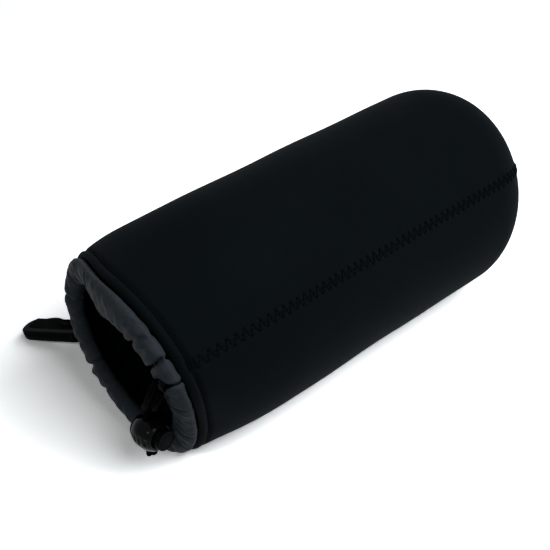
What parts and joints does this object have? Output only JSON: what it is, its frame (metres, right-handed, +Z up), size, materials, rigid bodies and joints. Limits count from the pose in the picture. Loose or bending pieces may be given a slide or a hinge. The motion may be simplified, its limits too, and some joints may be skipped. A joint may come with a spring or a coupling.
{
  "type": "padded drawstring lens pouch",
  "caption": "Soft padded tube with a rounded closed end and a drawstring mouth with a cord lock, a belt loop and a swivelling snap hook, lying on its side.",
  "frame": {"origin": "on the flattened underside of the tube, at half the tube's length", "axes": "+X from the mouth to the rounded base, +Z up as the pouch lies, -Y the side the drawcord leaves"},
  "size_m": [0.2288, 0.1435, 0.1029],
  "materials": {
    "neoprene": "foam rubber faced with fine black jersey",
    "nylon": "thin black nylon with a silky sheen",
    "seam_thread": "black polyester thread",
    "braided_cord": "round black braid",
    "webbing": "woven black webbing",
    "lock_plastic": "black moulded plastic, satin to gloss",
    "hook_plastic": "black moulded plastic, satin",
    "spring_steel": "drawn steel wire"
  },
  "bodies": {
    "pouch": {"tube_panel": "neoprene", "base_disc": "neoprene", "side_seam_thread": "seam_thread", "base_seam_thread": "seam_thread", "hem_thread": "seam_thread", "drawstring_channel": "nylon", "drawcord_loop": "braided_cord", "drawcord_upper_strand": "braided_cord", "drawcord_lower_strand": "braided_cord", "drawcord_knot": "braided_cord", "belt_strap": "webbing", "belt_strap_front_tack": "seam_thread", "belt_strap_rear_tack": "seam_thread", "hook_tab": "webbing"},
    "cord_lock": {"cord_lock_barrel": "lock_plastic", "cord_lock_spring": "spring_steel"},
    "lock_button": {"cord_lock_plunger": "lock_plastic"},
    "eye": {"hook_eye": "hook_plastic"},
    "hook": {"hook_body": "hook_plastic"},
    "gate": {"hook_gate": "hook_plastic"}
  },
  "joints": [
    {"name": "lock_slide", "type": "slide", "parent": "pouch", "child": "cord_lock", "axis": [0.1091, 0.0952, 0.9895], "range_m": [0, 0.002]},
    {"name": "button_press", "type": "slide", "parent": "cord_lock", "child": "lock_button", "axis": [-0.1311, 0.9881, -0.0807], "range_m": [0, 0.0024], "stiffness_N_per_m": 400, "springref_m": -0.002, "deforming": ["cord_lock_spring"]},
    {"name": "eye_tilt", "type": "hinge", "parent": "pouch", "child": "eye", "pos_m": [-0.09044, 0.04495, 0.02589], "axis": [0.9538, 0.3004, 0], "range_deg": [-50, 60]},
    {"name": "hook_swivel", "type": "hinge", "parent": "eye", "child": "hook", "pos_m": [-0.09344, 0.05447, 0.02203], "axis": [0.2802, -0.8897, 0.3603], "continuous": true},
    {"name": "gate_hinge", "type": "hinge", "parent": "hook", "child": "gate", "pos_m": [-0.09239, 0.06312, 0.01897], "axis": [-0.1082, 0.3437, 0.9328], "range_deg": [0, 9], "stiffness_Nm_per_rad": 0.06}
  ]
}
